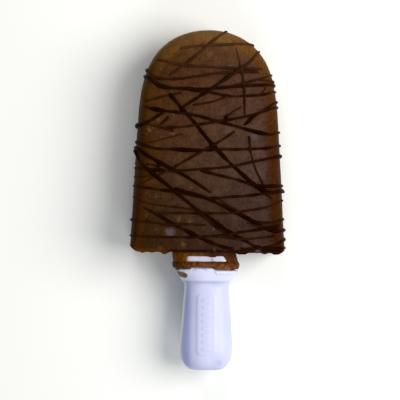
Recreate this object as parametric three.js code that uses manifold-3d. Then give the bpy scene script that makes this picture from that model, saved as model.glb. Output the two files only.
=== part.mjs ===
// A moulded ice cream bar on a plastic drip-guard stick, lying on its back.
// Millimetres. +X to the right of the shown face, +Y towards the bar's tip, +Z up, out of the shown face.
// The model is drawn round the middle of the bar's base and moved to its resting place at the end.
import * as THREE from 'three';
import { mergeVertices } from 'three/addons/utils/BufferGeometryUtils.js';
import Module from 'manifold-3d';

const wasm = await Module();
wasm.setup();

// ---- driving dimensions ----

const bar = {
  length: 74.6,
  halfBase: 25.95, // half the width at the base
  taper: 0.0546, // loss of half width for each millimetre of height
  arch: 45, // height of the arch that closes the bar
  archFullness: 4.8, // more holds the sides straight for longer
  halfDepth: 10.5,
  baseCorner: 1.8, // rounding of the corners at the base, in plan
  edge: 5.5, // width of the rounded edge round the sides and the tip
  baseEdge: 1.3, // and along the base
  edgeFullness: 2.5, // 2 is an ellipse, more is squarer
  baseFullness: 7,
  middle: 33, // height of the point that the sections are drawn round
};

const slab = { turns: 60, edgeSteps: 10 };

const drizzle = {
  sides: 4,
  freeTurns: [48, 24], // a strand's places on its way from a free end to the middle, in degrees
  wrapTurns: [104, 90, 77, 65, 52, 26], // and from an end that has run on round the side
  proud: 0.08, // how far a strand's middle stands off the bar
};

// The shown face's strands: from and to are places over the base, bow is the bend towards the left
// of the way from one to the other.
const frontStrands = [
  { from: [6.2, 73.8], to: [-12.7, 58.4], bow: 0.5, width: 1.0 },
  { from: [-8.1, 68.1], to: [15.0, 69.4], bow: 0.2, width: 1.0 },
  { from: [-18.0, 57.4], to: [18.3, 61.3], bow: -0.1, width: 0.9 },
  { from: [-20.3, 58.2], to: [21.7, 57.7], bow: -3.7, width: 1.3 },
  { from: [17.6, 67.3], to: [-9.3, 47.1], bow: 0.8, width: 1.1 },
  { from: [-6.5, 54.4], to: [22.7, 54.3], bow: -2.4, width: 0.9 },
  { from: [-12.7, 53.3], to: [23.4, 16.7], bow: -1.6, width: 1.3 },
  { from: [-22.3, 49.5], to: [23.0, 39.2], bow: 0, width: 1.3 },
  { from: [-17.0, 41.7], to: [23.4, 48.7], bow: -1.7, width: 0.9 },
  { from: [12.0, 42.6], to: [23.4, 50.8], bow: 0.5, width: 0.9 },
  { from: [-24.0, 42.6], to: [-13.6, 46.9], bow: -0.6, width: 0.9 },
  { from: [-23.7, 36.9], to: [24.0, 35.5], bow: -1.7, width: 1.1 },
  { from: [9.1, 40.7], to: [-11.2, 28.2], bow: 0.3, width: 0.9 },
  { from: [-23.7, 34.2], to: [1.6, 19.6], bow: 0.8, width: 1.1 },
  { from: [-23.0, 28.3], to: [24.7, 32.4], bow: -2.4, width: 1.0 },
  { from: [-1.5, 27.6], to: [25.0, 22.1], bow: -0.3, width: 1.1 },
  { from: [-23.4, 32.5], to: [16.4, 1.9], bow: -1.8, width: 1.3 },
  { from: [-23.0, 30.2], to: [25.7, 6.7], bow: -1.2, width: 1.3 },
  { from: [-24.4, 23.1], to: [24.7, 20.8], bow: -3.4, width: 1.1 },
  { from: [-22.3, 15.8], to: [6.2, 1.8], bow: -0.1, width: 1.1 },
  { from: [-20.3, 14.0], to: [24.7, 16.7], bow: -1.7, width: 0.9 },
  { from: [-25.2, 10.9], to: [0.4, 9.3], bow: -0.3, width: 0.9 },
  { from: [-25.0, 5.8], to: [25.4, 10.5], bow: -1.9, width: 1.0 },
  { from: [7.0, 1.8], to: [26.0, 3.9], bow: -0.5, width: 1.0 },
];

const backDrizzle = {
  seed: 11,
  strands: 9,
  lowest: 5,
  highest: 66,
  tilt: 15, // how much higher one end may be than the other
  bow: 2.2,
  width: [0.9, 1.4],
};

const rest = { proud: 0.4, width: 1.6, height: 30 }; // the broad strand that carries the bar's middle

const collar = {
  turns: 28,
  fullness: 2.6,
  sections: [ // it froze a little to the left, most of all at its top
    { x: -0.9, y: 1.5, halfWidth: 10.7, halfDepth: 6.3 },
    { x: -0.9, y: -0.2, halfWidth: 10.7, halfDepth: 6.3 },
    { x: -0.8, y: -1.6, halfWidth: 10.8, halfDepth: 6.5 },
    { x: -0.6, y: -3.0, halfWidth: 10.9, halfDepth: 6.8 },
    { x: -0.4, y: -3.6, halfWidth: 11.2, halfDepth: 7.4 },
    { x: -0.4, y: -5.1, halfWidth: 11.1, halfDepth: 7.5 },
    { x: -0.4, y: -5.4, halfWidth: 10.5, halfDepth: 7.1 },
  ],
  unevenness: 0.02,
  window: { x: -0.5, top: -1.1, foot: -3.0, halfWidth: 6.6, depth: 5.9 },
};

const stick = {
  x: -0.2, // it was frozen in a little to the left of the bar's middle
  turns: 32,
  fullness: 2.15,
  clearance: 0.3,
  tang: [
    { y: 34, halfWidth: 3.6, halfDepth: 1.2 },
    { y: 33, halfWidth: 4.8, halfDepth: 2 },
    { y: -0.7, halfWidth: 5, halfDepth: 2.2 },
  ],
  collarSeat: [
    { y: -0.7, halfWidth: 6.9, halfDepth: 5.5, fullness: 7 },
    { y: -5.7, halfWidth: 8, halfDepth: 5.8, fullness: 7 },
  ],
  guard: [
    { y: -5.7, halfWidth: 10.4, halfDepth: 7 },
    { y: -6.1, halfWidth: 10.75, halfDepth: 7.4 },
    { y: -9.1, halfWidth: 8.5, halfDepth: 6.4 },
    { y: -9.9, halfWidth: 7.7, halfDepth: 5.5 },
  ],
};

const grip = {
  neck: -11,
  end: -39.2,
  halfNeck: 7.3,
  halfWide: 8.8,
  wideAt: -30,
  neckDepth: 5,
  wideDepth: 6,
  endRound: 7, // length of the rounded end
  endHalf: 4, // half width and half depth of the flat at the end
  endDepth: 2.4,
  steps: 7,
};

const panel = { top: -13.7, foot: -33.9, halfWidth: 3.2, proud: 0.3, corner: 1.4 };
const ribs = { count: 8, halfWidth: 1.5, height: 1.2, top: -15.8, foot: -31.9, proud: 0.2 };

const colours = { ice: 0x4b3226, plastic: 0xd8dbf2 };

// ---- the bar's form ----

const radians = THREE.MathUtils.degToRad;
const lerp = THREE.MathUtils.lerp;
const tiny = 1e-6; // a sine or cosine under this counts as zero, so that seams meet

function signedPower(value, power) {
  return Math.abs(value) < tiny ? 0 : Math.sign(value) * Math.abs(value) ** power;
}

// Half the bar's width at a height over its base.
function halfWidthAt(height) {
  const upArch = THREE.MathUtils.clamp((height - bar.length) / bar.arch + 1, 0, 1);
  const arch = Math.sqrt(1 - upArch ** bar.archFullness);
  const corner = Math.max(bar.baseCorner - height, 0);
  const cut = bar.baseCorner - Math.sqrt(bar.baseCorner ** 2 - corner ** 2);
  return (bar.halfBase - bar.taper * height) * arch - cut;
}

// How far the outline lies from the bar's middle in a direction, found by halving.
function reachAt(angle) {
  let inside = 0;
  let outside = bar.length;
  for (let round = 0; round < 26; round += 1) {
    const tried = (inside + outside) / 2;
    const height = bar.middle + tried * Math.sin(angle);
    const within = height > 0 && height < bar.length;
    if (within && Math.abs(tried * Math.cos(angle)) < halfWidthAt(height)) inside = tried;
    else outside = tried;
  }
  return inside;
}

// The rounded edge's width and fullness: full round the sides and the tip, sharper along the base.
function edgeAt(angle) {
  const fromDown = Math.abs(Math.atan2(Math.cos(angle), -Math.sin(angle)));
  const cornerAngle = Math.atan2(bar.halfBase, bar.middle);
  const side = THREE.MathUtils.smoothstep(fromDown, cornerAngle - 0.06, cornerAngle + 0.06);
  return {
    width: lerp(bar.baseEdge, bar.edge, side),
    fullness: lerp(bar.baseFullness, bar.edgeFullness, side),
  };
}

// The height of the face over the bar's middle plane at a place on the plan.
function faceHeight(x, y) {
  const angle = Math.atan2(y - bar.middle, x);
  const edge = edgeAt(angle);
  const inset = reachAt(angle) - Math.hypot(x, y - bar.middle);
  const fall = 1 - THREE.MathUtils.clamp(inset / edge.width, 0, 1);
  return bar.halfDepth * (1 - fall ** edge.fullness) ** (1 / edge.fullness);
}

// ---- solids ----

function solidOf(geometry) {
  const bare = geometry.clone();
  bare.deleteAttribute('normal');
  bare.deleteAttribute('uv');
  const merged = mergeVertices(bare, 1e-4);
  const corners = merged.index.array;
  const kept = [];
  for (let i = 0; i < corners.length; i += 3) {
    const [a, b, c] = corners.subarray(i, i + 3);
    if (a !== b && b !== c && c !== a) kept.push(a, b, c);
  }
  const vertProperties = merged.attributes.position.array;
  return new wasm.Manifold(new wasm.Mesh({ numProp: 3, vertProperties, triVerts: new Uint32Array(kept) }));
}

// Crossing strands can seal a tiny hollow or leave a scrap: the outer skin alone is kept.
function largestOf(solid) {
  const shells = solid.decompose();
  return shells.reduce((best, shell) => (shell.volume() > best.volume() ? shell : best));
}

function geometryOf(solid) {
  const { vertProperties, triVerts } = solid.getMesh();
  const geometry = new THREE.BufferGeometry();
  geometry.setAttribute('position', new THREE.BufferAttribute(vertProperties, 3));
  geometry.setIndex(new THREE.BufferAttribute(triVerts, 1));
  geometry.computeVertexNormals();
  return geometry;
}

// A closed form through a row of sections along Y: ovals of the fullness given, or of their own, round
// the Y axis or an x of their own. grow changes a section's size by its angle and place in the row.
function loft(sections, turns, fullness, grow = () => 1) {
  const last = sections.length - 1;
  const profile = [new THREE.Vector2(0, 0)];
  sections.forEach((section, index) => profile.push(new THREE.Vector2(1, index)));
  profile.push(new THREE.Vector2(0, last));
  const geometry = new THREE.LatheGeometry(profile, turns);
  const places = geometry.attributes.position;
  for (let i = 0; i < places.count; i += 1) {
    const index = Math.round(places.getY(i));
    const section = sections[index];
    const angle = Math.atan2(places.getZ(i), places.getX(i));
    const onAxis = Math.hypot(places.getX(i), places.getZ(i)) < 0.5;
    const size = onAxis ? 0 : grow(angle, index);
    const power = 2 / (section.fullness ?? fullness);
    const x = (section.x ?? 0) + signedPower(Math.cos(angle), power) * section.halfWidth * size;
    const z = signedPower(Math.sin(angle), power) * section.halfDepth * size;
    places.setXYZ(i, x, section.y, z);
  }
  const rising = sections[last].y > sections[0].y;
  if (!rising) geometry.index.array.reverse();
  return solidOf(geometry);
}

// A unit disc with a rounded rim, drawn out to the bar's outline and depth.
function slabSolid() {
  const rim = [];
  for (let step = 0; step <= slab.edgeSteps; step += 1) {
    const turn = radians(lerp(-90, 90, step / slab.edgeSteps));
    rim.push(new THREE.Vector2(1 + Math.cos(turn), Math.sin(turn)));
  }
  const profile = [new THREE.Vector2(0, -1), ...rim, new THREE.Vector2(0, 1)];
  const geometry = new THREE.LatheGeometry(profile, slab.turns).rotateX(radians(90));
  const places = geometry.attributes.position;
  for (let i = 0; i < places.count; i += 1) {
    const round = Math.hypot(places.getX(i), places.getY(i));
    const lift = places.getZ(i);
    const angle = Math.atan2(places.getY(i), places.getX(i));
    const edge = edgeAt(angle);
    const inset = edge.width * (1 - Math.max(round - 1, 0) ** (2 / edge.fullness));
    const radius = round > 0.5 ? reachAt(angle) - inset : 0;
    const z = bar.halfDepth * signedPower(lift, 2 / edge.fullness);
    places.setXYZ(i, radius * Math.cos(angle), bar.middle + radius * Math.sin(angle), z);
  }
  return solidOf(geometry);
}

// ---- the drizzle ----

// A strand's middle line. It crosses the face in plan as a shallow bow, and an end that meets the
// outline runs on round the side. Both ends sink into the bar.
class StrandPath extends THREE.Curve {
  constructor(strand, side) {
    super();
    this.from = new THREE.Vector2(...strand.from);
    this.to = new THREE.Vector2(...strand.to);
    this.bow = strand.bow;
    this.radius = strand.width / 2;
    this.side = side;
    const first = this.turnsTo(this.from);
    const last = this.turnsTo(this.to);
    this.turns = [...first.map((turn) => -turn), 0, ...last.reverse()];
    this.steps = this.turns.length - 1;
  }

  // An end near the outline is set on it.
  turnsTo(end) {
    const angle = Math.atan2(end.y - bar.middle, end.x);
    const reach = reachAt(angle);
    if (Math.hypot(end.x, end.y - bar.middle) < reach - 1.5) return [...drizzle.freeTurns];
    end.set(reach * Math.cos(angle), bar.middle + reach * Math.sin(angle));
    return [...drizzle.wrapTurns];
  }

  getUtoTmapping(share) {
    return share;
  }

  getPoint(share, target = new THREE.Vector3()) {
    const step = Math.min(Math.floor(share * this.steps), this.steps - 1);
    const turn = radians(lerp(this.turns[step], this.turns[step + 1], share * this.steps - step));
    const low = Math.sin(radians(Math.max(this.turns[0], -90)));
    const high = Math.sin(radians(Math.min(this.turns[this.steps], 90)));
    const along = (Math.sin(turn) - low) / (high - low);
    const way = this.to.clone().sub(this.from);
    const left = new THREE.Vector2(-way.y, way.x).normalize();
    const plan = this.from.clone().addScaledVector(way, along);
    plan.addScaledVector(left, this.bow * 4 * along * (1 - along));
    const height = faceHeight(plan.x, plan.y) * (Math.cos(turn) < 0 ? -1 : 1);
    const nearEnd = Math.max(Math.abs(share - 0.5) * 2 * this.steps - this.steps + 1, 0);
    const shift = drizzle.proud - 1.6 * this.radius * nearEnd;
    const outer = 1 + shift / bar.edge / 4;
    const lifted = height * (1 + shift / bar.halfDepth) * this.side;
    return target.set(plan.x * outer, bar.middle + (plan.y - bar.middle) * outer, lifted);
  }
}

function strandSolid(strand, side) {
  const section = new THREE.Shape();
  for (let corner = 0; corner < drizzle.sides; corner += 1) {
    const angle = radians((360 * corner) / drizzle.sides);
    const place = [Math.cos(angle) * strand.width / 2, Math.sin(angle) * strand.width / 2];
    if (corner === 0) section.moveTo(...place);
    else section.lineTo(...place);
  }
  const path = new StrandPath(strand, side);
  const settings = { steps: path.steps, bevelEnabled: false, extrudePath: path };
  return solidOf(new THREE.ExtrudeGeometry(section, settings));
}

// The back carries strands of the same kind, laid by a seeded rule from one side to the other.
function backStrands() {
  let state = backDrizzle.seed;
  const draw = (low, high) => {
    state = (state * 16807) % 2147483647;
    return lerp(low, high, state / 2147483647);
  };
  const strands = [];
  for (let index = 0; index < backDrizzle.strands; index += 1) {
    const share = (index + 0.5) / backDrizzle.strands;
    const middle = lerp(backDrizzle.lowest, backDrizzle.highest, share);
    const tilt = draw(-backDrizzle.tilt, backDrizzle.tilt) * Math.min(1, 3 * (1 - share));
    const low = Math.max(middle - tilt, backDrizzle.lowest);
    const high = Math.max(middle + tilt, backDrizzle.lowest);
    strands.push({
      from: [-halfWidthAt(low), low],
      to: [halfWidthAt(high), high],
      bow: draw(-backDrizzle.bow, backDrizzle.bow),
      width: draw(...backDrizzle.width),
    });
  }
  return strands;
}

function restStrand() {
  const side = halfWidthAt(rest.height);
  return { from: [-side, rest.height], to: [side, rest.height], bow: 0, width: rest.width };
}

// ---- the ice ----

function boxSolid(low, high) {
  const size = high.map((value, axis) => value - low[axis]);
  const geometry = new THREE.BoxGeometry(...size);
  geometry.translate(...low.map((value, axis) => value + size[axis] / 2));
  return solidOf(geometry);
}

// The run-off that froze round the stick under the bar, with the gap that shows the stick's seat.
function collarSolid() {
  const grow = (angle, index) => {
    const wave = Math.sin(3 * angle + index) + 0.6 * Math.sin(7 * angle - 1.7 * index);
    return 1 + collar.unevenness * wave * (index > 1 ? 1 : 0);
  };
  const { window } = collar;
  const low = [window.x - window.halfWidth, window.foot, window.depth];
  const high = [window.x + window.halfWidth, window.top, 2 * bar.halfDepth];
  const front = boxSolid(low, high);
  const back = boxSolid([low[0], low[1], -high[2]], [high[0], high[1], -low[2]]);
  return loft(collar.sections, collar.turns, collar.fullness, grow).subtract(front).subtract(back);
}

// The stick's tang and seat with clearance all round, cut out of the ice.
function stickRoom() {
  const widen = (section) => ({
    x: stick.x,
    y: section.y,
    halfWidth: section.halfWidth + stick.clearance,
    halfDepth: section.halfDepth + stick.clearance,
    fullness: section.fullness,
  });
  const tang = stick.tang.map(widen);
  tang[0].y += stick.clearance;
  const seat = stick.collarSeat.map(widen);
  seat[0].y += stick.clearance;
  seat[1].y -= stick.clearance;
  return loft(tang, stick.turns, stick.fullness).add(loft(seat, stick.turns, stick.fullness));
}

function iceSolid() {
  let ice = slabSolid().add(collarSolid()).subtract(stickRoom());
  const strands = frontStrands.map((strand) => strandSolid(strand, 1));
  const under = [...backStrands(), restStrand()].map((strand) => strandSolid(strand, -1));
  const kept = 2 * bar.length;
  const room = boxSolid([-kept, -kept, -bar.halfDepth - rest.proud], [kept, kept, kept]);
  for (const strand of [...strands, ...under]) ice = ice.add(strand);
  return largestOf(ice.intersect(room));
}

// ---- the stick ----

// The grip widens evenly from the neck and closes in a quarter of an ellipse. extra thickens it.
function gripSections(extra = 0) {
  const sections = [{ y: grip.neck, halfWidth: grip.halfNeck, halfDepth: grip.neckDepth + extra }];
  sections.push({ y: grip.wideAt, halfWidth: grip.halfWide, halfDepth: grip.wideDepth + extra });
  const straightEnd = grip.end + grip.endRound;
  for (let step = 0; step <= grip.steps; step += 1) {
    const turn = radians((90 * step) / grip.steps);
    const halfWidth = lerp(grip.endHalf, grip.halfWide, Math.cos(turn));
    const halfDepth = lerp(grip.endDepth, grip.wideDepth, Math.cos(turn)) + extra;
    sections.push({ y: straightEnd - grip.endRound * Math.sin(turn), halfWidth, halfDepth });
  }
  return sections;
}

// A long plate with round corners, as tall as the grip's half depth and more.
function panelPlate(side) {
  const outline = new THREE.Shape();
  const { corner, halfWidth, top, foot } = panel;
  outline.moveTo(halfWidth - corner, foot);
  outline.absarc(halfWidth - corner, foot + corner, corner, radians(-90), 0);
  outline.absarc(halfWidth - corner, top - corner, corner, 0, radians(90));
  outline.absarc(corner - halfWidth, top - corner, corner, radians(90), radians(180));
  outline.absarc(corner - halfWidth, foot + corner, corner, radians(180), radians(270));
  const depth = 2 * grip.wideDepth;
  const geometry = new THREE.ExtrudeGeometry(outline, { depth, bevelEnabled: false, curveSegments: 4 });
  return solidOf(geometry.translate(0, 0, side > 0 ? 0 : -depth));
}

// Short plain cross ribs on the panel, for the thumb.
function ribPlates(side) {
  const found = [];
  const tall = 2 * grip.wideDepth;
  for (let index = 0; index < ribs.count; index += 1) {
    const y = lerp(ribs.top, ribs.foot, index / (ribs.count - 1));
    const low = [-ribs.halfWidth, y - ribs.height / 2, side > 0 ? 0 : -tall];
    const high = [ribs.halfWidth, y + ribs.height / 2, side > 0 ? tall : 0];
    found.push(boxSolid(low, high));
  }
  return found;
}

// The panels and ribs follow the grip: each is the part of a thicker grip inside a plate.
function stickSolid() {
  const sections = [...stick.tang, ...stick.collarSeat, ...stick.guard, ...gripSections()];
  let whole = loft(sections, stick.turns, stick.fullness);
  const padded = loft(gripSections(panel.proud), stick.turns, stick.fullness);
  const ribbed = loft(gripSections(panel.proud + ribs.proud), stick.turns, stick.fullness);
  for (const side of [1, -1]) {
    whole = whole.add(padded.intersect(panelPlate(side)));
    for (const rib of ribPlates(side)) whole = whole.add(ribbed.intersect(rib));
  }
  return whole;
}

// ---- assembly ----

function named(name, solid, settings) {
  const mesh = new THREE.Mesh(geometryOf(solid), new THREE.MeshStandardMaterial(settings));
  mesh.name = name;
  return mesh;
}

const lying = new THREE.Group();
lying.add(named('ice_cream', iceSolid(), { color: colours.ice, roughness: 0.5, metalness: 0 }));
const handle = named('handle', stickSolid(), { color: colours.plastic, roughness: 0.35, metalness: 0 });
handle.position.x = stick.x;
lying.add(handle);

// The origin is under the middle of the whole, where it lies.
const extent = new THREE.Box3().setFromObject(lying);
const middle = extent.getCenter(new THREE.Vector3());
lying.position.set(-middle.x, -middle.y, -extent.min.z);

const iceCreamBar = new THREE.Group();
iceCreamBar.add(lying);

export default iceCreamBar;
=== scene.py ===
# An ice cream bar on a drip-guard stick, lying on its back. Its frame is in metres.
# Pieces are drawn in millimetres round the middle of the bar's base: x across, y towards the tip and
# z out of the face.
import math
import random

import bpy
from mathutils import Matrix, Vector, noise


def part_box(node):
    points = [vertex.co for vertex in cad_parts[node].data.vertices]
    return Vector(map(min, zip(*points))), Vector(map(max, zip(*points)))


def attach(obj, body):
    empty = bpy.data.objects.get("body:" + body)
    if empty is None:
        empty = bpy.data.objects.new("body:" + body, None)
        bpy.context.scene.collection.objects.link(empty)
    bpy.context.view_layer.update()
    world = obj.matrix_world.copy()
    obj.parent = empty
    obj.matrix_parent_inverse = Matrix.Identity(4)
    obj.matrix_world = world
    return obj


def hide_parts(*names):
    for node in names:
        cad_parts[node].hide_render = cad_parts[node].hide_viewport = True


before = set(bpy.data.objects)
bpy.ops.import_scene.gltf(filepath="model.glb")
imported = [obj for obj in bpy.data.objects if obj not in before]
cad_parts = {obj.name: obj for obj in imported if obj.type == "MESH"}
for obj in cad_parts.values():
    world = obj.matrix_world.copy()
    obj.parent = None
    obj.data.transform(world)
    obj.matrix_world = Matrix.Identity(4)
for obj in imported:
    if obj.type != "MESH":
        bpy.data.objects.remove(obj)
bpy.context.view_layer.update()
scene = bpy.context.scene
mm = 0.001

bar = {
    "length": 74.6,
    "halfBase": 25.95,
    "taper": 0.0546,  # loss of half width for each millimetre of height
    "arch": 45,
    "archFullness": 4.8,
    "halfDepth": 10.5,
    "baseCorner": 1.8,
    "edge": 5.5,  # width of the rounded edge round the sides and the tip
    "baseEdge": 1.3,
    "edgeFullness": 2.5,
    "baseFullness": 7,
    "middle": 33,  # height of the point that the slab is drawn round
    "gripEnd": 39.2,  # from the base down to the end of the grip
    "stickX": -0.2,  # the stick was frozen in a little to the left of the bar's middle
    "restProud": 0.4,  # how far the back stands off the table
}

# The stick is even about its axis, so it gives the middle of the bar's base.
stickLow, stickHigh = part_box("handle")
baseMiddle = Vector((
    (stickLow.x + stickHigh.x) / 2 - bar["stickX"] * mm,
    stickLow.y + bar["gripEnd"] * mm,
    (stickLow.z + stickHigh.z) / 2,
))
print("frame loaded, base middle at", [round(value / mm, 2) for value in baseMiddle])


def clamped(value, low=0, high=1):
    return min(max(value, low), high)


def smoothed(share):
    return share * share * (3 - 2 * share)


# ---- node trees ----


def findSocket(sockets, key):
    if isinstance(key, int):
        return sockets[key]
    return next(socket for socket in sockets if socket.enabled and key in (socket.identifier, socket.name))


def setStops(ramp, stops):
    while len(ramp.elements) < len(stops):
        ramp.elements.new(0.5)
    for element, (place, colour) in zip(ramp.elements, stops):
        element.position = place
        element.color = (*colour, 1)


class Wire:  # a socket of a node tree; arithmetic on it adds Math nodes
    def __init__(self, tree, socket=None):
        self.tree = tree
        self.socket = socket

    def node(self, kind, settings=None, inputs=None):
        made = self.tree.nodes.new(kind)
        for label, value in (settings or {}).items():
            if label == "stops":
                setStops(made.color_ramp, value)
            else:
                setattr(made, label, value)
        for key, value in (inputs or {}).items():
            socket = findSocket(made.inputs, key)
            for given in value if isinstance(value, list) else [value]:
                if isinstance(given, Wire):
                    self.tree.links.new(given.socket, socket)
                else:
                    socket.default_value = given
        shown = [socket for socket in made.outputs if socket.enabled]
        return Wire(self.tree, shown[0] if shown else None)

    def out(self, key):
        return Wire(self.tree, findSocket(self.socket.node.outputs, key))

    def maths(self, operation, *others):
        return self.node("ShaderNodeMath", {"operation": operation}, dict(enumerate((self, *others))))

    def after(self, operation, first):  # the same with the other value first
        return self.node("ShaderNodeMath", {"operation": operation}, {0: first, 1: self})

    def size(self):  # without its sign
        return self.maths("ABSOLUTE")

    def atLeast(self, other):
        return self.maths("MAXIMUM", other)

    def atMost(self, other):
        return self.maths("MINIMUM", other)

    def vector(self, operation, *others):
        return self.node("ShaderNodeVectorMath", {"operation": operation}, dict(enumerate((self, *others))))

    def rise(self, low, high):  # 0 at low, 1 at high, smooth between
        settings = {"interpolation_type": "SMOOTHSTEP"}
        return self.node("ShaderNodeMapRange", settings, {"Value": self, "From Min": low, "From Max": high})

    def through(self, kind, inputs=None):  # this geometry sent through a geometry node
        return self.node("GeometryNode" + kind, None, {"Geometry": self, **(inputs or {})})

    def __add__(self, other):
        return self.maths("ADD", other)

    __radd__ = __add__

    def __sub__(self, other):
        return self.maths("SUBTRACT", other)

    def __rsub__(self, other):
        return self.after("SUBTRACT", other)

    def __mul__(self, other):
        return self.maths("MULTIPLY", other)

    __rmul__ = __mul__

    def __truediv__(self, other):
        return self.maths("DIVIDE", other)

    def __rtruediv__(self, other):
        return self.after("DIVIDE", other)

    def __pow__(self, other):
        return self.maths("POWER", other)


def joined(x, y, z):
    whole = next(value for value in (x, y, z) if isinstance(value, Wire))
    return whole.node("ShaderNodeCombineXYZ", None, {"X": x, "Y": y, "Z": z})


def parted(vector):
    split = vector.node("ShaderNodeSeparateXYZ", None, {0: vector})
    return split.out("X"), split.out("Y"), split.out("Z")


def cloudy(place, size, seed=0.0, detail=2.0, roughness=0.5):
    # a noise from 0 to 1 whose lumps are about size millimetres apart
    settings = {"noise_dimensions": "4D"}
    inputs = {"Vector": place, "W": seed, "Scale": 1 / size, "Detail": detail, "Roughness": roughness}
    return place.node("ShaderNodeTexNoise", settings, inputs)


def wavy(place, size, seed=0.0, detail=2.0, roughness=0.5):
    # the same noise about 0, from -0.5 to 0.5
    return cloudy(place, size, seed, detail, roughness) - 0.5


def largest(values):
    found, *others = values
    for value in others:
        found = found.atLeast(value)
    return found


def flattened(place):
    return place.vector("MULTIPLY", (1, 1, 0))


# ---- geometry trees ----


def openTree(label, values):
    # values are the tree's own inputs, by name
    tree = bpy.data.node_groups.new(label, "GeometryNodeTree")
    for way in ("OUTPUT", "INPUT"):
        tree.interface.new_socket("Geometry", in_out=way, socket_type="NodeSocketGeometry")
    for name, value in values.items():
        kind = "NodeSocketInt" if isinstance(value, int) else "NodeSocketFloat"
        tree.interface.new_socket(name, in_out="INPUT", socket_type=kind).default_value = value
    tree.interface.new_socket("Finish", in_out="INPUT", socket_type="NodeSocketMaterial")
    return Wire(tree).node("NodeGroupInput")


def closeTree(entry, geometry):
    # from millimetres round the base to metres in the frame
    placed = geometry.through("Transform", {"Translation": baseMiddle, "Scale": (mm, mm, mm)})
    shadedSmooth = placed.through("RealizeInstances").through("SetShadeSmooth")
    finished = shadedSmooth.through("SetMaterial", {"Material": entry.out("Finish")})
    entry.node("NodeGroupOutput", None, {"Geometry": finished})
    return entry.tree


def signedVolume(mesh):
    mesh.calc_loop_triangles()
    total = 0
    for triangle in mesh.loop_triangles:
        a, b, c = (mesh.vertices[index].co for index in triangle.vertices)
        total += a.cross(b).dot(c)
    return total / 6


def grown(label, tree, seedMesh, values):
    # the tree's result on seedMesh, as a plain mesh object that faces outwards; values go before its own
    piece = bpy.data.objects.new(label, seedMesh)
    scene.collection.objects.link(piece)
    modifier = piece.modifiers.new(label, "NODES")
    modifier.node_group = tree
    for item in tree.interface.items_tree:
        if item.in_out == "INPUT" and item.name in values:
            modifier[item.identifier] = values[item.name]
    bpy.context.view_layer.update()
    graph = bpy.context.evaluated_depsgraph_get()
    result = bpy.data.meshes.new_from_object(
        piece.evaluated_get(graph), preserve_all_data_layers=True, depsgraph=graph)
    piece.modifiers.remove(modifier)
    piece.data = result
    if signedVolume(result) < 0:
        result.flip_normals()
    print(label, len(result.loop_triangles), "triangles")
    return piece


def dress(piece, node):
    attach(piece, "root")
    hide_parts(node)


def lineMesh(label, runs, marks, closed=False):
    # lines through the points of each run, with a number of each kind in marks at every point
    pairs = []
    first = 0
    for run in runs:
        pairs += [(first + step, first + step + 1) for step in range(len(run) - 1)]
        if closed:
            pairs.append((first + len(run) - 1, first))
        first += len(run)
    mesh = bpy.data.meshes.new(label)
    mesh.from_pydata([point for run in runs for point in run], pairs, [])
    for name, values in marks.items():
        mesh.attributes.new(name, "FLOAT", "POINT").data.foreach_set("value", values)
    return mesh


def placeOf(entry):
    return entry.node("GeometryNodeInputPosition")


def named(entry, name):
    return entry.node("GeometryNodeInputNamedAttribute", {"data_type": "FLOAT"}, {"Name": name})


def sampled(entry, kind, value, index):
    inputs = {"Geometry": entry.out("Geometry"), "Value": value, "Index": index}
    return entry.node("GeometryNodeSampleIndex", {"data_type": kind}, inputs)


def markAt(entry, name, index):
    return sampled(entry, "FLOAT", named(entry, name), index)


def sheetOf(entry, across, along):
    # a flat grid, with each point's share of the way across and along it
    counts = {"Size X": 1, "Size Y": 1, "Vertices X": across, "Vertices Y": along}
    sheet = entry.node("GeometryNodeMeshGrid", None, counts)
    x, y, _ = parted(placeOf(entry))
    return sheet, x + 0.5, y + 0.5


def roundedPlace(angle, fullness):
    # a place on a rounded square of half side 1: fullness 2 is a circle, more is squarer
    across = angle.maths("COSINE")
    up = angle.maths("SINE")
    size = (across.size() ** fullness + up.size() ** fullness) ** (-1 / fullness)
    return across * size, up * size


def moved(geometry, place, weld=0.0):
    made = geometry.through("SetPosition", {"Position": place})
    return made.through("MergeByDistance", {"Distance": weld}) if weld else made


def pushed(geometry, amount):
    # along each point's normal
    normal = geometry.node("GeometryNodeInputNormal")
    offset = normal.vector("MULTIPLY", joined(amount, amount, amount))
    return geometry.through("SetPosition", {"Offset": offset})


def sectionSurface(entry):
    # A closed skin through a row of oval sections. Each point of the incoming line is a section:
    # its half width, its place along the axis and its half depth, with its fullness and its centre.
    rows = entry.out("Rows")
    sheet, turn, row = sheetOf(entry, entry.out("Turns") + 1, rows)
    index = row * (rows - 1)
    section = sampled(entry, "FLOAT_VECTOR", placeOf(entry), index)
    fullness = markAt(entry, "fullness", index)
    centre = markAt(entry, "centre", index)
    across, up = roundedPlace(turn.maths("FRACT") * (2 * math.pi), fullness)
    halfWidth, along, halfDepth = parted(section)
    return moved(sheet, joined(centre + across * halfWidth, along, up * halfDepth), weld=1e-5)


# ---- finishes ----


def openFinish(label):
    finish = bpy.data.materials.new(label)
    finish.use_nodes = True
    finish.node_tree.nodes.clear()
    start = Wire(finish.node_tree)
    settings = {"vector_type": "POINT"}
    inputs = {
        "Vector": start.node("ShaderNodeTexCoord").out("Object"),
        "Location": tuple(-value / mm for value in baseMiddle),
        "Scale": (1 / mm, 1 / mm, 1 / mm),
    }
    return finish, start.node("ShaderNodeMapping", settings, inputs)


def closeFinish(place, look, inputs):
    # the look's plain values are the shader inputs that don't vary
    shader = place.node("ShaderNodeBsdfPrincipled", None, {**look["plain"], **inputs})
    place.node("ShaderNodeOutputMaterial", None, {"Surface": shader})


def tinted(low, high, share, mode="MIX"):
    # the colour low turned towards high by share; either may be a plain colour
    low, high = (value if isinstance(value, Wire) else (*value, 1) for value in (low, high))
    settings = {"data_type": "RGBA", "blend_type": mode}
    return share.node("ShaderNodeMix", settings, {"Factor": share, "A": low, "B": high})


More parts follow.
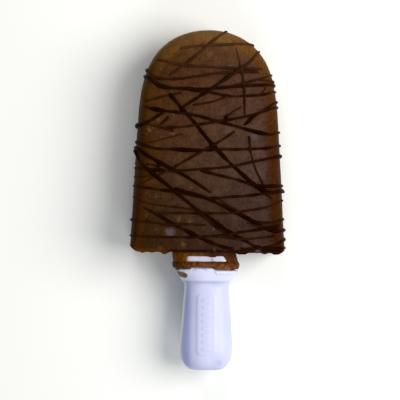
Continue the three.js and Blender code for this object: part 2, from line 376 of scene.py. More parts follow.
def shaded(colour, amount):
    grey = amount.node("ShaderNodeCombineColor", None, {"Red": amount, "Green": amount, "Blue": amount})
    settings = {"data_type": "RGBA", "blend_type": "MULTIPLY"}
    return amount.node("ShaderNodeMix", settings, {"Factor": 1.0, "A": colour, "B": grey})


def layered(colour, look, shares):
    # lays coats of the look over the colour: each is a tint, how strongly it covers and maybe a mode
    for name, share in shares.items():
        tint, strength, *mode = look[name]
        colour = tinted(colour, tint, share * strength, *mode)
    return colour


def graded(noiseShare, span):
    # the first number of span where the noise is 0, more by the second where it is 1
    return span[0] + noiseShare * span[1]


def ramped(share, stops):
    return share.node("ShaderNodeValToRGB", {"stops": stops}, {"Fac": share})


def carried(place, name):
    # a number that the mesh holds at each point
    return place.node("ShaderNodeAttribute", {"attribute_name": name}).out("Fac")


def strayed(place, size, seed, amount):
    # the place moved about by a noise, which makes what is drawn on it ragged
    stray = cloudy(place, size, seed).out("Color").vector("SUBTRACT", (0.5, 0.5, 0.5))
    return place.vector("ADD", stray.vector("MULTIPLY", (amount, amount, amount)))


def bumped(height, depth, strength):
    inputs = {"Height": height, "Distance": depth * mm, "Strength": strength}
    return height.node("ShaderNodeBump", None, inputs)


iceLook = {
    "heights": [  # colour of the face from the base up, as a share of rampTop; the lighter top is painted light falling on the tip from above
        (0.0, (0.038, 0.0160, 0.0082)),
        (0.14, (0.041, 0.0190, 0.0100)),
        (0.35, (0.058, 0.0270, 0.0145)),
        (0.62, (0.063, 0.0262, 0.0118)),
        (0.78, (0.062, 0.0250, 0.0105)),
        (0.90, (0.084, 0.0355, 0.0118)),
        (1.0, (0.122, 0.0590, 0.0200)),
    ],
    "rampTop": 76,
    # painted shade and sheen: the face is darker and olive towards the left, and lighter with a bluish
    # painted sheen towards the right, as if the key light came from the right
    "left": ((0.76, 0.60, 0.13), 0.85, "MULTIPLY"),
    "leftShadeSpan": (2, -24),
    "right": ((1.12, 1.25, 1.85), 0.85, "MULTIPLY"),
    "rightSpan": (-2, 20),
    "backlitAmber": [  # the same for the amber edge: partly the ice's own amber, partly painted light shining through the edge from behind
        (0.0, (0.045, 0.0112, 0.0003)),
        (0.50, (0.052, 0.0165, 0.0007)),
        (0.76, (0.086, 0.0330, 0.0042)),
        (0.88, (0.135, 0.0600, 0.0135)),
        (1.0, (0.170, 0.0850, 0.0270)),
    ],
    "band": (6.4, 3.0),  # the amber edge with its painted backlight starts and is full at these depths in from the outline
    "bandSize": 8,
    "bandWander": 2.6,
    "bandShare": 0.95,
    # the painted backlight of the amber edge is weaker towards the left
    "leftBand": 0.82,
    "leftBandSpan": (-6, 6),
    # painted shade: the amber edge is darker on the right
    "rightAmber": ((0.80, 0.68, 0.50), 1.0, "MULTIPLY"),
    "rightAmberSpan": (4, 18),
    # painted rim light: the outermost left rim is lighter and redder
    "leftRimLight": ((1.45, 1.22, 0.50), 1.0, "MULTIPLY"),
    "leftRimLightSpan": (0, -10),
    "leftRimLightInset": (1.8, 0.3),
    "foot": ((0.011, 0.0018, 0.0004), 0.85),  # the dark line just over the base: painted shadow under its edge, with dark chocolate in it
    "footHeight": (1.8, 1.0),
    "footShadowSpan": (-17, -12),
    "footShadowDepth": (7, 9),
    "fringe": ((0.085, 0.026, 0.0020), 0.6),  # which is orange brown at its left end
    "fringeHeight": (2.2, 0.9),
    "fringeSpan": (-11, -16),
    "frostAndGlint": ((0.125, 0.088, 0.108), 1.0),
    "frostAndGlintSpots": [  # lilac frost with one painted highlight: x, y, radius and share
        (-12.5, 7.0, 1.9, 0.60), (15.0, 39.0, 1.8, 0.32), (7.0, 62.0, 0.9, 0.25), (-17.0, 40.0, 0.9, 0.12),
        (-12.0, 35.5, 1.0, 0.10), (6.5, 40.5, 1.4, 0.25), (3.0, 20.5, 1.2, 0.13), (-15.5, 2.0, 0.8, 0.20),
        # the spot at 16.5, 1.3 is a painted highlight, a light streak of gloss just over the base
        (16.5, 1.3, 1.3, 0.60), (12.5, 3.0, 1.3, 0.25),
    ],
    "cream": ((0.150, 0.088, 0.032), 1.0),
    "creamSpots": [  # beige crumbs of frozen milk
        (0.5, 66.0, 0.9, 0.40), (-16.5, 44.5, 0.9, 0.40), (-19.5, 41.0, 1.0, 0.50), (-11.5, 39.5, 0.5, 0.40),
        (8.5, 43.5, 0.6, 0.30), (-11.0, 30.5, 0.5, 0.40), (-9.5, 11.5, 1.1, 0.36), (-5.5, 10.5, 0.8, 0.40),
        (-8.0, 3.0, 0.9, 0.40), (1.0, 14.5, 0.6, 0.40), (2.5, 1.5, 0.6, 0.50),
    ],
    "ragged": (1.0, 3.0),  # size and reach of the noise that makes the spots ragged
    "dim": [(-19.5, 61, 6.5, 0.2)],  # darker ice near the upper left edge
    "specks": ((0.170, 0.110, 0.072), 0.5),
    "speckCell": 1.05,
    "speckRadius": (0.36, 0.05),
    "speckChosen": (0.70, 1.0),
    "grain": 0.8,
    "grainShade": (0.14, 1.72),
    "mottle": 3.6,
    "mottleShade": (0.40, 1.2),
    "seed": 3.0,
    "rough": (0.40, 0.2),
    "bandSmooth": 0.08,
    "bump": (0.22, 0.6),
    "plain": {"IOR": 1.31, "Specular IOR Level": 0.012},
}


def spotOn(onPlan, spotX, spotY, radius, inner):
    # 1 within the inner share of a round spot, 0 outside it
    return onPlan.vector("DISTANCE", (spotX, spotY, 0)).rise(radius, radius * inner)


def spotted(place, spots):
    # each spot's share in its middle, 0 away from them
    onPlan = flattened(place)
    return largest([
        spotOn(onPlan, spotX, spotY, radius * 1.25, 0.16) * share for spotX, spotY, radius, share in spots])


def iceFinish():
    look = iceLook
    finish, place = openFinish("mocha ice")
    x, y, z = parted(place)
    height = y / look["rampTop"]
    mottle = cloudy(place, look["mottle"], look["seed"], 3.0)
    grain = cloudy(place, look["grain"], look["seed"] + 2, 3.0, 0.7)
    wander = wavy(place, look["bandSize"], 1.0)
    # the face is painted darker to the left, and lighter with a painted sheen to the right
    colour = layered(ramped(height, look["heights"]), look, {
        "left": x.rise(*look["leftShadeSpan"]),
        "right": x.rise(*look["rightSpan"]),
    })
    colour = shaded(colour, graded(mottle, look["mottleShade"]))
    toSide = bar["halfBase"] - y * bar["taper"] - x.size()
    inset = carried(place, "inset").atMost(toSide)
    band = (inset + wander * look["bandWander"]).rise(*look["band"])
    leftFade = graded(x.rise(*look["leftBandSpan"]), (look["leftBand"], 1 - look["leftBand"]))
    # the amber edge: partly the ice's own colour, partly painted light shining through from behind
    backlitAmber = layered(ramped(height, look["backlitAmber"]), look, {
        # painted shade on the right of the amber edge
        "rightAmber": x.rise(*look["rightAmberSpan"]),
        # painted rim light along the outermost left edge
        "leftRimLight": inset.rise(*look["leftRimLightInset"]) * x.rise(*look["leftRimLightSpan"]),
    })
    colour = tinted(colour, backlitAmber, band * leftFade * look["bandShare"])
    colour = shaded(colour, 1 - spotted(place, look["dim"]))
    nearFace = z.size().rise(*look["footShadowDepth"])
    colour = layered(colour, look, {
        # a painted shadow line just over the base
        "foot": (y + wander * 0.8).rise(*look["footHeight"]) * nearFace * x.rise(*look["footShadowSpan"]),
        "fringe": (y + (mottle - 0.5) * 4).rise(*look["fringeHeight"]) * x.rise(*look["fringeSpan"]),
    })
    colour = shaded(colour, graded(grain, look["grainShade"]))
    raggedSize, raggedReach = look["ragged"]
    ragged = strayed(place, raggedSize, 9.0, raggedReach)
    shown = z.rise(2, 6)
    cells = ragged.node("ShaderNodeTexVoronoi", None, {"Vector": ragged, "Scale": 1 / look["speckCell"]})
    chosen = parted(cells.out("Color"))[0].rise(*look["speckChosen"])
    speck = cells.out("Distance").rise(*look["speckRadius"]) * chosen
    colour = layered(colour, look, {
        # frost spots, one of them a painted highlight
        "frostAndGlint": spotted(ragged, look["frostAndGlintSpots"]) * shown,
        "cream": spotted(ragged, look["creamSpots"]) * shown,
        "specks": speck,
    })
    closeFinish(place, look, {
        "Base Color": colour,
        "Roughness": graded(grain, look["rough"]) - band * look["bandSmooth"],
        "Normal": bumped(grain * 0.7 + mottle * 0.3 + speck * 0.3, *look["bump"]),
    })
    return finish


drizzleLook = {
    "thin": (0.0310, 0.0088, 0.0020),
    "thick": (0.0112, 0.0020, 0.0003),
    "pooled": (0.0048, 0.0008, 0.0001),
    "tip": (0.0680, 0.0255, 0.0090),
    "tipHeights": (52, 70),
    "thinRadius": 0.26,
    "thickRadius": 0.58,
    "pooledRadius": 0.95,
    "tone": 2.6,
    "grain": 0.7,
    "rough": (0.34, 0.16),
    "bump": (0.06, 0.5),
    "plain": {"IOR": 1.33, "Specular IOR Level": 0.015},
}


def drizzleFinish():
    look = drizzleLook
    finish, place = openFinish("dark drizzle")
    height = parted(place)[1]
    tone = cloudy(place, look["tone"], 4.0)
    grain = cloudy(place, look["grain"], 6.0)
    radius = carried(place, "strandRadius")
    body = radius.rise(look["thinRadius"], look["thickRadius"])
    pooled = radius.rise(look["thickRadius"], look["pooledRadius"])
    colour = tinted(look["thin"], look["thick"], (body * 0.9 + tone * 0.2).atMost(1.0))
    colour = tinted(colour, look["pooled"], pooled)
    colour = tinted(colour, look["tip"], height.rise(*look["tipHeights"]) * (0.9 - body * 0.3))
    closeFinish(place, look, {
        "Base Color": colour,
        "Roughness": graded(grain, look["rough"]),
        "Normal": bumped(grain, *look["bump"]),
    })
    return finish


runoffLook = {
    "span": (-12, 24),  # the two rows of colours run from this x over this width
    "upper": [  # beside and over the window
        (0.10, (0.185, 0.0560, 0.0018)),
        (0.42, (0.150, 0.0580, 0.0070)),
        (0.56, (0.058, 0.0170, 0.0060)),
        (0.92, (0.086, 0.0215, 0.0006)),
    ],
    "lower": [  # the rounded band under it
        (0.10, (0.112, 0.0300, 0.0050)),
        (0.36, (0.100, 0.0270, 0.0016)),
        (0.50, (0.155, 0.0600, 0.0180)),
        (0.68, (0.120, 0.0380, 0.0050)),
        (0.92, (0.106, 0.0360, 0.0048)),
    ],
    "fromUpper": (-2.6, -3.3),
    "mottle": 2.0,
    "mottleShade": (0.50, 1.0),
    "grain": 0.7,
    "honey": ((0.290, 0.135, 0.006), 0.45),
    "honeySize": 1.5,
    "honeyFrom": (0.52, 0.66),
    "vein": ((0.052, 0.0085, 0.0022), 0.6),
    "veinSize": 1.9,
    "crumb": ((0.300, 0.150, 0.056), 0.6),
    "crumbHeight": (-2.7, -3.6),
    "sideDark": ((0.034, 0.0085, 0.0022), 0.45),
    "sideSpan": (6.2, 7.6),  # from this far to both sides
    "sideHeight": (-3.6, -4.0),
    "pitDark": ((0.034, 0.0085, 0.0022), 0.6),
    "rough": (0.30, 0.3),
    "bump": (0.22, 0.7),
    "plain": {"IOR": 1.33, "Specular IOR Level": 0.09},
}


def runoffFinish():
    look = runoffLook
    finish, place = openFinish("frozen runoff")
    x, y, _ = parted(place)
    mottle = cloudy(place, look["mottle"], 12.0, 3.0, 0.6)
    grain = cloudy(place, look["grain"], 14.0, 3.0, 0.6)
    left, width = look["span"]
    across = (x + (mottle - 0.5) * 3.0 - left) / width
    colour = tinted(ramped(across, look["upper"]), ramped(across, look["lower"]), y.rise(*look["fromUpper"]))
    colour = shaded(colour, graded(mottle, look["mottleShade"]))
    toSide = (x - 0.5).size().rise(*look["sideSpan"])
    sides = toSide * y.rise(*look["sideHeight"]) * mottle.rise(0.36, 0.52)
    colour = layered(colour, look, {
        "honey": cloudy(place, look["honeySize"], 18.0).rise(*look["honeyFrom"]),
        "sideDark": sides,
        "vein": wavy(place, look["veinSize"], 16.0, 3.0, 0.6).size().rise(0.045, 0.0),
        "crumb": grain.rise(0.54, 0.68) * y.rise(*look["crumbHeight"]),
        "pitDark": grain.rise(0.44, 0.34),
    })
    closeFinish(place, look, {
        "Base Color": colour,
        "Roughness": graded(grain, look["rough"]),
        "Normal": bumped(grain * 0.6 + mottle * 0.4, *look["bump"]),
    })
    return finish


plasticLook = {
    "white": (0.555, 0.575, 0.800),
    "shade": (0.525, 0.545, 0.765),
    "upper": ((0.680, 0.695, 0.885), 0.8),  # painted light: the guard and the seat are drawn lighter than the grip
    "upperLightFrom": (-9.7, -8.6),
    # painted light: the seat in the window is lighter still, though its recess keeps light off it
    "seat": ((0.820, 0.790, 0.970), 1.0),
    "seatFrom": (-4.5, -4.1),
    "film": ((0.800, 0.580, 0.430), 0.6),  # a thin film of ice at both ends of the seat
    "filmFrom": (5.4, 6.8),
    "speck": (1.65, -2.0, 0.6),  # and a dark speck on it, as x, y and radius
    "gripFrom": (-8.6, -9.7),
    "shadeCore": ((0.70, 0.73, 0.88), 1.0, "MULTIPLY"),  # painted shade: the grip is darker left of its panel, where its side turns from the key light
    "shadeCoreSpan": (-4.6, -6.6),
    "shadeCoreFade": (-8.8, -6.8),
    # painted light: the middle of the grip is lighter
    "middle": ((1.08, 1.08, 1.02), 1.0, "MULTIPLY"),
    "middleLightSpan": [(-4, -2), (2.6, 0.8)],
    "rimLight": ((0.940, 0.940, 0.950), 0.85),  # painted rim light: the grip's left edge is lighter, as if light from behind came through it
    "rimLightSpan": (-5, -6),
    "rimLightHeight": (-38, -30),
    "rimLightDepth": (2.7, 1.7),
    "stain": ((0.560, 0.530, 0.560), 0.4),
    "stainFrom": (-11, -5),
    "drip": ((0.100, 0.056, 0.000), 0.97),  # run-off that dried on the left of the guard
    "dripRun": [(-9.6, -7.1), (-7.4, -7.4)],
    "dripReach": 1.1,
    "dripFull": 2.2,
    "dripEdge": ((0.230, 0.085, 0.045), 0.7),
    "dripEdgeRun": [(-10.4, -6.1), (-7.4, -6.8)],
    "dripEdgeReach": 0.55,
    "creaseShade": [  # painted shade along shallow steps in the guard: how dark, how wide and a chain of places
        (0.32, 0.42, [(2.2, -5.3), (3.1, -6.9)]),
        (0.14, 0.36, [(3.1, -6.9), (8.4, -7.2)]),
        (0.30, 0.34, [(-4.8, -5.2), (-3.6, -5.5)]),
        (0.30, 0.34, [(-1.3, -5.2), (0.0, -5.6)]),
    ],
    # a painted shadow line where the guard meets the neck
    "neckShadow": -9.7,
    "neckShadowReach": (0.45, 0.1),
    "neckShadowSpan": (7.4, 6.4),
    "neckShadowDark": 0.10,
    "smudge": (4.2, -36.5, 1.5),
    "smudgeDark": 0.12,
    "speckDark": 0.5,
    "ragged": (1.4, 0.9),
    "cloud": 11.0,
    "grain": 0.35,
    "scuff": 0.6,
    "damp": 2.0,
    "rough": (0.34, 0.16),
    "bump": (0.02, 0.35),
    "plain": {"IOR": 1.46},
}


def nearChain(onPlan, places, reach):
    # 1 on the chain of straight stretches, 0 further than reach from it
    found = []
    for start, stop in zip(places, places[1:]):
        way = Vector((*stop, 0)) - Vector((*start, 0))
        fromStart = onPlan.vector("SUBTRACT", (*start, 0))
        along = fromStart.vector("DOT_PRODUCT", way / way.length_squared)
        share = along.atLeast(0.0).atMost(1.0)
        foot = share.node("ShaderNodeVectorMath", {"operation": "SCALE"}, {"Vector": way, "Scale": share})
        found.append(fromStart.vector("DISTANCE", foot).rise(reach, reach * 0.2))
    return largest(found)


def plasticFinish():
    look = plasticLook
    finish, place = openFinish("white plastic")
    x, y, z = parted(place)
    shown = z.rise(1, 3)
    cloud = cloudy(place, look["cloud"], 21.0)
    grain = cloudy(place, look["grain"], 23.0, 1.0)
    scuffs = cloudy(place.vector("MULTIPLY", (1.0, 0.16, 1.0)), look["scuff"], 25.0)
    damp = cloudy(place, look["damp"], 27.0)
    seat = y.rise(*look["seatFrom"])
    grip = y.rise(*look["gripFrom"])
    # painted shade on the grip left of its panel
    shadeCore = grip * x.rise(*look["shadeCoreSpan"]) * graded(x.rise(*look["shadeCoreFade"]), (0.5, 0.5))
    middleLightLeft, middleLightRight = (x.rise(*span) for span in look["middleLightSpan"])
    # painted rim light along the grip's left edge
    rimLight = z.size().rise(*look["rimLightDepth"]) * x.rise(*look["rimLightSpan"]) * grip * y.rise(*look["rimLightHeight"])
    raggedSize, raggedReach = look["ragged"]
    onPlan = flattened(strayed(place, raggedSize, 29.0, raggedReach))
    drip = nearChain(onPlan, look["dripRun"], look["dripReach"]) * look["dripFull"]
    colour = layered(tinted(look["shade"], look["white"], cloud.rise(0.3, 0.7)), look, {
        # painted light on the guard and the seat
        "upper": y.rise(*look["upperLightFrom"]),
        # painted light on the seat
        "seat": seat,
        "film": seat * (x + 0.5).size().rise(*look["filmFrom"]),
        "shadeCore": shadeCore,
        # painted light on the middle of the grip
        "middle": grip * middleLightLeft * middleLightRight,
        "rimLight": rimLight,
        "stain": y.rise(*look["stainFrom"]) * damp.rise(0.45, 0.7),
        "dripEdge": nearChain(onPlan, look["dripEdgeRun"], look["dripEdgeReach"]) * shown,
        "drip": drip.atMost(1.0) * shown,
    })
    # painted shade along the steps in the guard
    creaseShade = largest([nearChain(onPlan, chain, width) * dark for dark, width, chain in look["creaseShade"]])
    # painted shadow where the guard meets the neck
    neckShadow = (y - look["neckShadow"]).size().rise(*look["neckShadowReach"])
    neckShadow = neckShadow * x.size().rise(*look["neckShadowSpan"])
    smudge = spotOn(onPlan, *look["smudge"], 0.2)
    speck = spotOn(flattened(place), *look["speck"], 0.3)
    # the painted neck shadow together with the real smudge and speck
    marks = neckShadow * look["neckShadowDark"] + smudge * look["smudgeDark"] + speck * look["speckDark"]
    colour = shaded(colour, 1 - (creaseShade + marks) * shown)
    closeFinish(place, look, {
        "Base Color": colour,
        "Roughness": graded(scuffs, look["rough"]),
        "Normal": bumped(grain * 0.7 + scuffs * 0.3, *look["bump"]),
    })
    return finish


mochaIce = iceFinish()
darkDrizzle = drizzleFinish()
frozenRunoff = runoffFinish()
whitePlastic = plasticFinish()
print("finishes made")


# ---- the slab of ice ----

slab = {
    "round": 420,
    "across": 116,
    "flatShare": 0.26,  # share of the rows that lie on each flat face
    "swell": 0.16,
    "swellSize": 7.0,
    "pits": 0.10,
    "pitSize": 1.7,
    "weld": 1e-4,
    "baseRagged": 0.35,
    "raggedSize": 1.3,
    "raggedFade": (1.6, 0.1),
    "baseLift": (0.5, 0.3),  # the ice stops short of the mould's rim, more so on the left
    "liftSpan": (-14, 4),
    "liftFade": (1.8, 0.2),
    "drips": [  # they reach down to the rim: x, half width and share of the lift
        (-21.5, 0.9, 0.6), (-18.3, 0.9, 0.5), (-14.2, 1.3, 1.6), (11.5, 2.2, 1.6), (19, 1.0, 1.2),
        (22.8, 1.5, 1.8),
    ],
    "cornerLift": 1.1,  # the base rises towards its left corner
    "cornerFrom": (-22.8, -26),
    "cornerFade": (5, 0),
    "plainBase": 3,  # the amber edge and its painted backlight fade out along the base
    "seed": 5.0,
}


def halfWidthAt(height):
    upArch = clamped((height - bar["length"]) / bar["arch"] + 1)
    archShare = math.sqrt(1 - upArch ** bar["archFullness"])
    corner = max(bar["baseCorner"] - height, 0)
    cut = bar["baseCorner"] - math.sqrt(bar["baseCorner"] ** 2 - corner**2)
    return (bar["halfBase"] - bar["taper"] * height) * archShare - cut


def reachAt(angle):
    # from the bar's middle to its outline, by halving
    inside = 0
    outside = bar["length"]
    for _ in range(26):
        tried = (inside + outside) / 2
        height = bar["middle"] + tried * math.sin(angle)
        within = 0 < height < bar["length"]
        if within and abs(tried * math.cos(angle)) < halfWidthAt(height):
            inside = tried
        else:
            outside = tried
    return inside


def edgeAt(angle):
    # width and fullness of the rounded edge: full round the sides and the tip, sharper along the base
    fromDown = abs(math.atan2(math.cos(angle), -math.sin(angle)))
    cornerAngle = math.atan2(bar["halfBase"], bar["middle"])
    side = smoothed(clamped((fromDown - cornerAngle + 0.06) / 0.12))
    width = bar["baseEdge"] + (bar["edge"] - bar["baseEdge"]) * side
    return width, bar["baseFullness"] + (bar["edgeFullness"] - bar["baseFullness"]) * side


def faceHeight(x, y):
    # of the face over the middle plane
    angle = math.atan2(y - bar["middle"], x)
    width, fullness = edgeAt(angle)
    inset = reachAt(angle) - math.hypot(x, y - bar["middle"])
    fall = 1 - clamped(inset / width)
    return bar["halfDepth"] * (1 - fall**fullness) ** (1 / fullness)


def outlinePoints(count):
    # evenly spaced round the outline
    dense = []
    for step in range(count * 8 + 1):
        angle = 2 * math.pi * step / (count * 8)
        reach = reachAt(angle)
        dense.append(Vector((reach * math.cos(angle), bar["middle"] + reach * math.sin(angle), 0)))
    lengths = [0]
    for before, after in zip(dense, dense[1:]):
        lengths.append(lengths[-1] + (after - before).length)
    points = []
    step = 0
    for index in range(count):
        wanted = lengths[-1] * index / count
        while lengths[step + 1] < wanted:
            step += 1
        share = (wanted - lengths[step]) / (lengths[step + 1] - lengths[step])
        points.append(dense[step].lerp(dense[step + 1], share))
    return points


def slabTree():
    entry = openTree("slab", {
        "Round": slab["round"], "Across": slab["across"], "Flat share": slab["flatShare"],
        "Half depth": bar["halfDepth"], "Middle": float(bar["middle"]), "Swell": slab["swell"],
        "Pits": slab["pits"], "Ragged": slab["baseRagged"], "Corner lift": slab["cornerLift"],
        "Seed": slab["seed"],
    })
    around = entry.out("Round")
    flatShare = entry.out("Flat share")
    sheet, turn, row = sheetOf(entry, around + 1, entry.out("Across"))
    index = (turn * around).maths("ROUND").maths("MODULO", around)
    onOutline = sampled(entry, "FLOAT_VECTOR", placeOf(entry), index)
    width = markAt(entry, "edgeWidth", index)
    fullness = markAt(entry, "edgeFullness", index)
    middle = joined(0.0, entry.out("Middle"), 0.0)
    away = onOutline.vector("SUBTRACT", middle)
    reach = away.vector("LENGTH")
    flat = (row.atMost(1 - row) / flatShare).atMost(1.0)
    share = ((row - flatShare) / (1 - 2 * flatShare)).atLeast(0.0).atMost(1.0)
    outward, upward = roundedPlace(math.pi / 2 - share * math.pi, fullness)
    radius = (reach - width * (1 - outward)) * flat
    inset = reach - radius + (fullness - bar["edgeFullness"]) * slab["plainBase"]
    marked = entry.node("GeometryNodeStoreNamedAttribute", {"data_type": "FLOAT"}, {
        "Geometry": sheet, "Name": "inset", "Value": inset})
    plan = away.vector("NORMALIZE").vector("MULTIPLY", joined(radius, radius, radius)).vector("ADD", middle)
    height = joined(0.0, 0.0, upward * entry.out("Half depth"))
    solid = moved(marked, plan.vector("ADD", height), slab["weld"])
    place = placeOf(entry)
    seed = entry.out("Seed")
    swell = wavy(place, slab["swellSize"], seed, 1.0) * entry.out("Swell")
    pits = wavy(place, slab["pitSize"], seed + 3) * entry.out("Pits")
    nearBase = parted(place)[1].rise(*slab["raggedFade"])
    ragged = wavy(place, slab["raggedSize"], seed + 7) * entry.out("Ragged") * nearBase
    rough = pushed(solid, (swell + pits + ragged) * 2)
    x, y, z = parted(placeOf(entry))
    cornerLift = x.rise(*slab["cornerFrom"]) * y.rise(*slab["cornerFade"]) * entry.out("Corner lift")
    dripping = largest([
        (x - dripX).size().rise(half * 1.2, half * 0.4) * amount for dripX, half, amount in slab["drips"]])
    leftLift, rightLift = slab["baseLift"]
    baseLift = graded(x.rise(*slab["liftSpan"]), (leftLift, rightLift - leftLift))
    lift = cornerLift + baseLift * (1 - dripping) * y.rise(*slab["liftFade"])
    return closeTree(entry, moved(rough, joined(x, y + lift, z)))


outline = outlinePoints(slab["round"])
rounding = [edgeAt(math.atan2(point.y - bar["middle"], point.x)) for point in outline]
outlineMesh = lineMesh("outline", [outline], {
    "edgeWidth": [width for width, _ in rounding],
    "edgeFullness": [fullness for _, fullness in rounding],
}, closed=True)
iceSlab = grown("iceSlab", slabTree(), outlineMesh, {"Finish": mochaIce})
dress(iceSlab, "ice_cream")


# ---- the drizzle ----

# Each strand of the face is a width and the few places that its smooth course runs through, as x and y.
drizzle = {
    "front": [
        (0.75, (6, 74), (1, 69.5), (-6, 63.5), (-13, 58.5)),
        (0.75, (-9.5, 67.5), (-2, 68.5), (7, 69), (15, 69.5)),
        (0.75, (-17, 64), (-8, 62), (0, 61.5), (8, 61), (18, 61)),
        (0.8, (-20, 60.5), (-17.5, 58), (-12, 57.5), (-3, 58.5), (8, 60), (17, 60)),
        (0.6, (-20, 60), (-18.5, 58), (-16.5, 56)),
        (0.95, (-20.5, 58), (-15, 55), (-7, 54.5), (-1.5, 54), (7, 55), (22.5, 56.5)),
        (0.7, (8.5, 55.5), (14.5, 57), (18, 58), (21.5, 60)),
        (0.65, (17, 57.5), (22, 57.5)),
        (0.75, (-6, 54), (1.5, 53), (9.5, 52), (18, 52.5), (22.5, 54)),
        (0.45, (15.5, 52), (17.5, 53), (19, 55)),
        (0.85, (17, 67.5), (13.5, 63), (6, 58), (0, 53.5), (-8, 48.5), (-9.5, 47)),
        (0.5, (9, 68), (11, 61), (12, 53.5), (12, 45.5)),
        (0.55, (5.5, 45), (11, 48.5)),
        (0.6, (-5, 49), (1.5, 50), (6.5, 52)),
        (0.55, (-21, 50), (-13.5, 52), (-8.5, 53)),
        (1.05, (-13, 53), (-3.5, 42), (2, 35.5), (9.5, 28), (21.5, 18)),
        (0.9, (-21.5, 48.5), (-17, 47.5), (-1.5, 45), (13, 41), (20.5, 39.5), (24, 40.5)),
        (0.8, (-24, 42.5), (-19.5, 43.5), (-14.5, 46.5)),
        (0.65, (-20, 43), (-18, 42), (-16.5, 42), (-13, 45)),
        (0.75, (-17, 41.5), (-7, 42), (6, 44), (15, 46), (23.5, 49)),
        (0.8, (12, 42.5), (15.5, 45.5), (23.5, 51)),
        (0.6, (-15.5, 41.5), (-11.5, 40.5)),
        (0.4, (-19.5, 36.5), (-14, 38), (-8, 39.5)),
        (0.85, (-24, 37), (-16, 34.5), (8, 34.5), (20, 35), (24, 36)),
        (0.75, (9, 40.5), (2, 36), (-11, 28.5)),
        (0.55, (13.5, 39), (14, 34), (15.5, 28.5), (18.5, 22.5)),
        (1.0, (-23.5, 35), (-18.5, 31.5), (-8, 26), (1.5, 20)),
        (0.8, (-23.5, 28.5), (-14, 27.5), (0, 28), (10.5, 29.5), (24.5, 32.5)),
        (0.65, (-20, 29.5), (-15.5, 29)),
        (0.5, (-24, 25.5), (-16, 26), (-13, 27.5)),
        (0.4, (-22, 23), (-18, 25)),
        (0.9, (-2.5, 27.5), (10, 24.5), (17, 22.5), (25, 22.5)),
        (1.1, (16, 22.5), (20.5, 20.5), (25, 21)),
        (0.85, (-24.5, 22.5), (-8, 20), (0.5, 18.5), (10, 19), (24.5, 21)),
        (0.6, (-24.5, 19), (-20.5, 17), (-12.5, 15.5), (-3.5, 14.5)),
        (1.05, (-24, 34), (-22, 30), (-14, 23.5), (-5, 16), (5, 9), (15, 3), (18, 2)),
        (1.05, (-11, 21.5), (-2, 19), (11, 13), (20.5, 8), (26, 7.5)),
        (0.75, (-4, 14.5), (0, 11.5), (6, 7)),
        (0.7, (3.5, 18.5), (7, 16), (9.5, 14.5)),
        (0.95, (-21.5, 15.5), (-12, 10.5), (-2.5, 5.5), (5, 2.5), (9, 1.8)),
        (0.7, (-18, 13.5), (1, 13.5), (10, 14), (19.5, 15.5), (25.5, 17.5)),
        (0.7, (-25.5, 11), (-14, 10), (0, 9.5)),
        (0.4, (-15.5, 9.5), (-10.5, 9)),
        (0.8, (-25.5, 6), (-6.5, 5.5), (3, 6), (12, 7.5), (19, 8.5)),
        (0.65, (3, 6), (13.5, 5), (22, 6)),
        (0.75, (16.5, 10.5), (21, 10.5), (26, 11)),
        (0.65, (18, 9.5), (24, 9.5)),
        (0.75, (20, 8.5), (24.5, 9)),
        (0.4, (13, 10.5), (18, 9)),
        (0.8, (11, 1.8), (15, 2), (20, 2.5), (26.5, 4)),
        (0.9, (18.5, 1.8), (25.5, 2.5)),
    ],
    "broaden": 1.08,
    # where the chocolate ran together or thin: x, y, reach and the share by which a strand swells
    "pools": [
        (-6, 63.5, 2, 0.35), (7.5, 69, 3, 0.3), (10.5, 60.5, 2.5, 0.4), (6.5, 58.5, 2.5, 0.25),
        (-15.5, 55.5, 3, 0.45), (-4, 54, 3.5, 0.25), (-13, 53, 1.2, -0.15), (12, 53.5, 0.7, 0.6),
        (12, 50, 0.7, 0.6), (5.5, 45, 1, 0.6), (-17, 47.5, 3, 0.4), (15, 40.5, 3.5, 0.5),
        (-24, 42.5, 2.2, 0.9), (-11.5, 40.5, 0.8, 0.4), (-7.5, 34.5, 2.8, 0.6), (1.8, 35.7, 2.2, 0.4),
        (15.5, 23, 4, 0.25), (-16, 25.5, 2.5, 0.3), (-15.5, 30, 3, 0.25), (-11, 21.5, 2, 0.2),
        (-24, 34, 2, 0.5), (24.5, 32.5, 2.2, 0.8), (21.5, 21.8, 3.5, 0.25), (14.5, 12, 3.5, 0.25),
        (22.5, 8, 3, 0.15), (-5.7, 7.2, 1.8, 0.35), (5, 6.2, 3.5, 0.3), (23, 16.6, 1.2, 0.4),
        (-25.5, 11, 1.6, 0.5), (26, 4, 2, 0.3), (20.5, 18.5, 2, -0.45), (9, 67, 2.5, -0.35),
        (-21, 15, 3, -0.4), (-24.5, 20.5, 3.5, -0.35), (-24, 27, 3, -0.35), (-25, 6, 3, -0.35),
        (8.5, 2, 2, -0.2), (-21.5, 50, 3, -0.3), (26, 2.2, 1.8, -0.35), (1, 20.5, 2.5, -0.25),
    ],
    "steps": 96,
    "freeTurn": 48,  # a strand's places on its way from a free end, in degrees
    "wrapTurn": (92, 116),  # and from an end that has run on round the side
    "backWrapTurn": (50, 78),
    "edgeReach": 1.5,  # an end this near the outline runs on round the side
    "proud": 0.08,
    "wander": 0.3,  # how far a strand strays from its smooth course
    "wanderSize": 9,
    "uneven": 0.42,  # share by which its width changes
    "unevenSize": 3.2,
    "endShare": 0.42,  # share of its radius at the very end
    "endPlaces": 2.4,  # places over which it would gain a whole radius from there
    "sink": 1.1,  # an end sinks into the ice by this share of the radius
    "sinkPlaces": 2,  # and comes out over this many places
    "crossLift": 0.8,  # share of the strand below that the upper one climbs
    "crossReach": 1.3,
    "crossCell": 2.0,  # side of the cells in which neighbours are looked for
    "sides": 9,
    "step": 0.55,
    "ripple": 0.05,
    "rippleSize": 1.1,
    "seed": 8,
}

